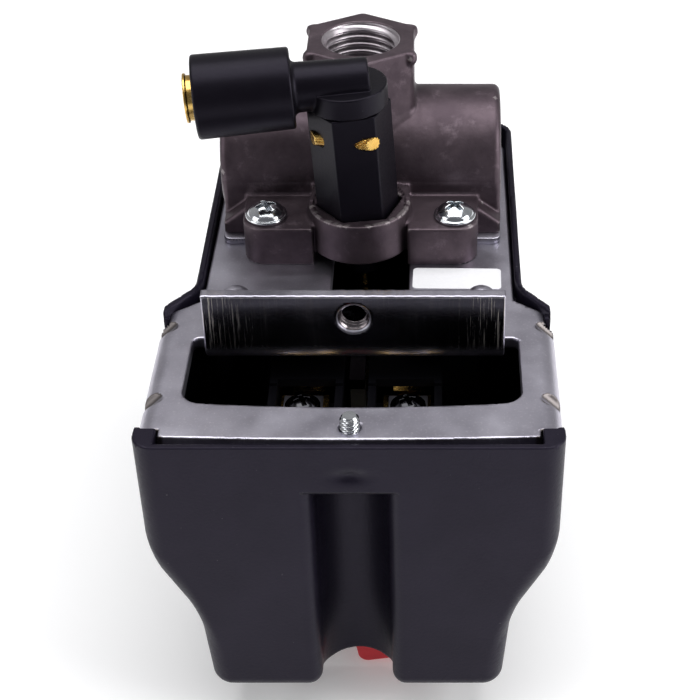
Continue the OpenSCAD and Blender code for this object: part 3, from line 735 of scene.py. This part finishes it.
def make_screws():
    kinds = {
        "block": (machine_screw(3.75, 2.6, 2.0, 14.95), (-3.9, -3.9, -15), (3.9, 3.9, 2.7), 0.13),
        "cover": (machine_screw(3.75, 2.4, 2.0, 9), (-3.9, -3.9, -9.1), (3.9, 3.9, 2.5), 0.13),
        "terminal": (machine_screw(3, 1.9, 1.5, 6), (-3.1, -3.1, -6.1), (3.1, 3.1, 2), 0.12),
    }
    mesh_of = {kind: skin(*how) for kind, how in kinds.items()}
    places = []
    for side in (-1, 1):
        for i, y in enumerate(SCREW_Y):
            spin = 25 + 40 * i + (15 if side > 0 else 0)
            at = (side * SCREW_X, y, PAD_TOP)
            places.append(("block", "manifold_screws", at, spin, False))
        for i, y in enumerate(TERMINAL_Y):
            spin = 20 + 50 * i * side
            at = (side * TERMINAL_X, y, TERMINAL_TOP)
            places.append(("terminal", "terminal_screws", at, spin, False))
    places.append(("cover", "cover_screw", (0, COVER_SCREW_Y, COVER_FLOOR), 30, True))
    for number, (kind, node, at, spin, flipped) in enumerate(places):
        points, quads, normals = mesh_of[kind]
        place = PLATE @ Matrix.Translation(at) @ Matrix.Rotation(math.radians(spin), 4, "Z")
        if flipped:
            place = place @ Matrix.Rotation(math.pi, 4, "X")
        mesh = bpy.data.meshes.new(node)
        mesh.from_pydata(points, [], quads)
        mesh.polygons.foreach_set("use_smooth", np.ones(len(quads), bool))
        mesh.transform(place)
        mesh.normals_split_custom_set_from_vertices(normals @ np.array(place.to_3x3().normalized()).T)
        # terminal screws take the near-black steel with painted shade, the others the plain screw steel
        finish = "painted_shade_steel" if kind == "terminal" else "screw_steel"
        piece(f"{node}.{number}", mesh, "housing", finish, node)
    turned("ground_screw.tip", stud_tip, np.linspace(-3.1, STUD_TOP, 90), 0, "housing", "screw_steel",
           "ground_screw", place=PLATE @ Matrix.Translation((0, GROUND_SCREW_Y, 0)))
    head = PLATE @ Matrix.Translation((0, GROUND_SCREW_Y, -3)) @ Matrix.Rotation(math.pi, 4, "X")
    carve("ground_screw.head", lambda p: pan_head(p, 3.3, 2.3), (-3.4, -3.4, -0.1), (3.4, 3.4, 2.4),
          0.13, "housing", "screw_steel", "ground_screw", place=head)


def rivet(p):
    dome = common(length(p[0], p[1]) - 3, length(p[0], p[1], p[2] + 0.68) - 3.08, 0.1)
    dome = common(dome, -p[2], 0.1)
    shank = rod(p, "z", (0, 0), RIVET_R, (-9.7, 0.5))
    foot = rod(p, "z", (0, 0), 2.5, (-9.9, -8.7), 0.3)
    return np.minimum(np.minimum(dome, shank), foot)


def make_rivets():
    for side, name in ((-1, "left"), (1, "right")):
        at = Matrix.Translation((side * RIVET_AT[0], RIVET_AT[1], 0))
        carve(f"rivet.{name}", rivet, (-3.1, -3.1, -10), (3.1, 3.1, 2.5), 0.16,
              "housing", "zinc_plate", "block_rivets", place=PLATE @ at)


# ---- Unloader valve ----

VALVE_TOP = 25.2
CAP_TOP = 29.1
PIN_Z = 20.2
PIN_TURN = math.radians(-16.4)
PIN_OFF = 4.38


def pin_frame(p, side):
    """Coordinates along and across one of the two pins."""
    x, y, z = p
    c, s = side * math.cos(PIN_TURN), side * math.sin(PIN_TURN)
    return x * c + y * s, y * c - x * s + PIN_OFF, z - PIN_Z


def valve_body(p):
    x, y, z = p
    body = hexagon(x, y, VALVE_HEX, HEX_TURN, 0.15)
    crown = length(x, y) - 7.1 - (VALVE_TOP - z) * 1.6
    body = common(common(body, crown, 0.2), between(z, 0.45, VALVE_TOP), 0.3)
    spigot = rod(p, "z", (0, 0), 3.1, (-8, 2), 0.5)
    collar = rod(p, "z", (0, 0), 3.4, (-3.4, -2.2), 0.4)
    body = join(join(body, spigot, 0.4), collar, 0.3)
    body = cut(body, rod(p, "z", (0, 0), 0.88, (-9, 11)), 0.15)
    body = cut(body, rod(p, "z", (0, 0), 3.2, (4, 14)))
    body = cut(body, rod(p, "z", (0, 0), 3.6, (13.5, 30)), 0.2)
    for side in (-1, 1):
        _, v, w = pin_frame(p, side)
        body = cut(body, length(v, w) - 1.22, 0.1)
    return body


def knurled_pin(p):
    """Both brass pins: one end of each is knurled, and the other carries a groove."""
    solid = None
    for side in (-1, 1):
        u, v, w = pin_frame(p, side)
        around = np.arctan2(w, v)
        ridge = np.minimum(np.abs(np.sin(5 * around + 3.6 * u)), np.abs(np.sin(5 * around - 3.6 * u)))
        pin = length(v, w) - 1.2 + 0.28 * np.clip(1 - 1.5 * ridge, 0, 1) * (u > 0)
        groove = length(v + 1.2, w - 0.25) - 0.3
        pin = cut(pin, np.maximum(groove, u), 0.05)
        pin = common(pin, np.abs(facing(p[0], p[1], (0, 0), -17.5)) - VALVE_HEX / 2 - 0.03, 0.08)
        pin = common(pin, length(p[0], p[1]) - 7.15, 0.08)
        solid = pin if solid is None else np.minimum(solid, pin)
    return solid


def elbow_body(p):
    x, y, z = p
    q = (x, y, z + TUBE_AXIS)
    cap = rod(q, "z", (0, 0), 6.9, (VALVE_TOP + 0.05, CAP_TOP), 0.25)
    tube = rod(p, "x", (0, 0), 4.05 + 0.03 * np.clip(-x, 0, 8), (-12, 3.8), 0.35)
    head = join(cap, tube, 0.15)
    sleeve = common(length(y, z) - 6.8 + 0.015 * x, between(x, -25.9, -9.25), 0.5)
    solid = join(head, sleeve, 0.9)
    spigot = rod(q, "z", (0, 0), 3.5, (14, 26), 0.3)
    solid = cut(solid, np.maximum(length(x, y) - 8, between(q[2], 20, VALVE_TOP + 0.05)), 0.2)
    solid = join(solid, spigot)
    pin_groove = np.maximum(3.0 - length(x, y), between(q[2], PIN_Z - 1.3, PIN_Z + 1.3))
    ring_groove = np.maximum(2.5 - length(x, y), between(q[2], 15.8, 17.4))
    near_axis = length(x, y) - 5
    solid = cut(solid, np.maximum(np.minimum(pin_groove, ring_groove), near_axis))
    solid = cut(solid, rod(p, "x", (0, 0), 3.95, (-30, -13)), 0.35)
    solid = cut(solid, rod(p, "x", (0, 0), 2.3, (-14, 1)))
    return cut(solid, rod(q, "z", (0, 0), 1.8, (10, 28)))


def collet(p):
    """Split brass collet: a rolled lip, four slots from the inner end."""
    x, y, z = p
    sleeve = rod(p, "x", (0, 0), 3.87, (-27.5, -16.6), 0.15)
    lip = rod(p, "x", (0, 0), 4.22, (-27.5, -27.0), 0.15)
    solid = join(sleeve, lip, 0.15)
    bore = length(y, z) - 3.205 - 0.5 * np.clip(-27.0 - x, 0, 1)
    solid = cut(solid, bore, 0.12)
    slots = np.minimum(np.abs(y), np.abs(z)) - 0.35
    return cut(solid, np.maximum(slots, -26.0 - x), 0.05)


def stem(p):
    return rod(p, "z", (0, 0), 0.8, (-11.9, 7.1), 0.25)


def make_valve():
    carve("unloader.body", valve_body, (-7.5, -7.5, -8.1), (7.5, 7.5, 25.3), 0.24,
          "housing", "valve_plastic", "unloader_body", place=VALVE)
    carve("unloader.pins", knurled_pin, (-7.8, -7.8, PIN_Z - 1.3), (7.8, 7.8, PIN_Z + 1.3), 0.08,
          "housing", "brass", "elbow_pins", place=VALVE)
    carve("elbow.shell", elbow_body, (-26.3, -7.5, -15.4), (7, 7.5, 7.5), 0.3,
          "elbow", "valve_plastic", "elbow", place=ELBOW)
    carve("collet.brass", collet, (-28.3, -4.3, -4.3), (-16.5, 4.3, 4.3), 0.14,
          "collet", "brass", "collet", place=ELBOW)
    carve("unloader.stem", stem, (-0.9, -0.9, -12), (0.9, 0.9, 7.2), 0.15,
          "stem", "brass", "unloader_stem", place=VALVE)


# ---- Lever and label ----

LEVER_PIVOT = (0, 10.5, -32)
LEVER_SWING = 9.5


def lever(p):
    """Lever in its own frame: pivot at the origin, thickness along Y, length down Z."""
    x, y, z = p
    ax = np.abs(x)
    hub = length(x, z) - 4.6
    arm = np.maximum(ax - 4.6, between(z, -8, 0))
    paddle = common(ax - 5, between(z, -28, -5), 1.8)
    flat = join(join(hub, arm), paddle, 1.0)
    solid = common(flat, between(y, 0, 4), 0.5)
    ribs = np.maximum(np.abs((z + 24) % 1.6 - 0.8) - 0.35, between(z, -27, -21))
    grip = np.maximum(np.maximum(ribs, ax - 4), 0.25 - y)
    solid = cut(solid, np.maximum(grip, y - 0.3), 0.1)
    return cut(solid, length(x, z) - 2.08, 0.2)


def make_lever():
    place = PLATE @ Matrix.Translation(LEVER_PIVOT) @ Matrix.Rotation(math.radians(-LEVER_SWING), 4, "Y")
    carve("lever.arm", lever, (-5.1, -0.1, -28.1), (5.1, 4.1, 4.7), 0.25,
          "lever", "lever_plastic", "lever", place=place)


def make_label():
    """Blank sticker with round corners."""
    wide, tall, r, thick = 15.6, 6.5, 0.8, 0.12
    at = (9.3, 41.9, 0)
    bm = bmesh.new()
    corners = ((wide - r, tall - r, 0), (r, tall - r, 90), (r, r, 180), (wide - r, r, 270))
    rim = [
        (cx + r * math.cos(math.radians(start + a)), cy + r * math.sin(math.radians(start + a)), 0)
        for cx, cy, start in corners for a in range(0, 91, 15)
    ]
    face = bm.faces.new([bm.verts.new(point) for point in rim])
    raised = bmesh.ops.extrude_face_region(bm, geom=[face])["geom"]
    top = [part for part in raised if isinstance(part, bmesh.types.BMVert)]
    bmesh.ops.translate(bm, vec=(0, 0, thick), verts=top)
    bmesh.ops.recalc_face_normals(bm, faces=bm.faces)
    mesh = bpy.data.meshes.new("label")
    bm.to_mesh(mesh)
    bm.free()
    turn = Matrix.Rotation(math.radians(-1), 4, "Z")
    mesh.transform(PLATE @ Matrix.Translation(at) @ turn)
    sticker = piece("label.sticker", mesh, "housing", "label_paper", "label")
    bevel = sticker.modifiers.new("soft rim", "BEVEL")
    bevel.width = 0.04 * MM
    bevel.segments = 2


make_cover()
make_plate()
make_port_block()
make_screws()
make_rivets()
make_valve()
make_lever()
make_label()
for node in ("clamp_plate", "contact_block", "terminal_clamps", "fixed_contacts", "ground_washer",
             "manifold_nuts", "cage", "cover_post"):
    soften(node)


# ---- Floor, light and camera ----

def make_floor():
    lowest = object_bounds()[0].z
    bpy.ops.mesh.primitive_plane_add(size=6, location=(0, 0, lowest - 0.0002))
    floor = bpy.context.object
    floor.name = "floor"
    mat, tree, bsdf, where = look("floor", Roughness=0.6, Emission_Color=rgb(1, 1, 1),
                                  Emission_Strength=0.2)
    colour = mix(tree, noise(tree, where, 3, 2), rgb(0.86, 0.86, 0.87), rgb(0.9, 0.9, 0.9))
    drive(tree, bsdf, Base_Color=colour)
    floor.data.materials.append(mat)


def softbox(name, at, aim, size, power):
    lamp = bpy.data.lights.new(name, "AREA")
    lamp.shape = "RECTANGLE"
    lamp.size, lamp.size_y = size
    lamp.energy = power
    obj = bpy.data.objects.new(name, lamp)
    bpy.context.scene.collection.objects.link(obj)
    obj.location = at
    obj.rotation_euler = (Vector(aim) - Vector(at)).to_track_quat("-Z", "Y").to_euler()


def make_light():
    world = bpy.data.worlds.new("studio")
    bpy.context.scene.world = world
    world.use_nodes = True
    tree = world.node_tree
    sky = tree.nodes["Background"]
    sky.inputs["Strength"].default_value = 0.34
    back = add(tree, "SeparateXYZ", Vector=add(tree, "TexCoord").outputs["Generated"]).outputs[1]
    colour = mix(tree, spread(tree, back, -0.7, 0.7, 0, 1), rgb(0.45, 0.45, 0.48), rgb(1, 0.99, 1))
    tree.links.new(colour, sky.inputs["Color"])
    softbox("overhead", (0, 0.05, 0.75), (0, 0, 0), (0.9, 0.7), 6.5)
    softbox("left", (-0.65, -0.3, 0.25), (0, 0, -0.03), (0.45, 0.5), 1.3)
    softbox("right", (0.65, -0.2, 0.25), (0, 0, -0.03), (0.45, 0.5), 3.5)


CAMERA_AT = (13.8, -201.7, 163.7)
LOOKS_DOWN = 36


def make_camera():
    """Stands above and in front, level; the object is left of the axis, so the lens is shifted."""
    data = bpy.data.cameras.new("camera")
    data.sensor_width = 36
    data.lens = 86.1
    data.shift_x = -0.1256
    camera = bpy.data.objects.new("camera", data)
    bpy.context.scene.collection.objects.link(camera)
    camera.location = PLATE @ Vector(CAMERA_AT)
    camera.rotation_euler = (math.radians(90 - LOOKS_DOWN), 0, 0)
    data.clip_start = 0.01
    bpy.context.scene.camera = camera


make_floor()
make_light()
make_camera()
bpy.context.scene.view_settings.view_transform = "Standard"  # keeps blacks deep and the floor white
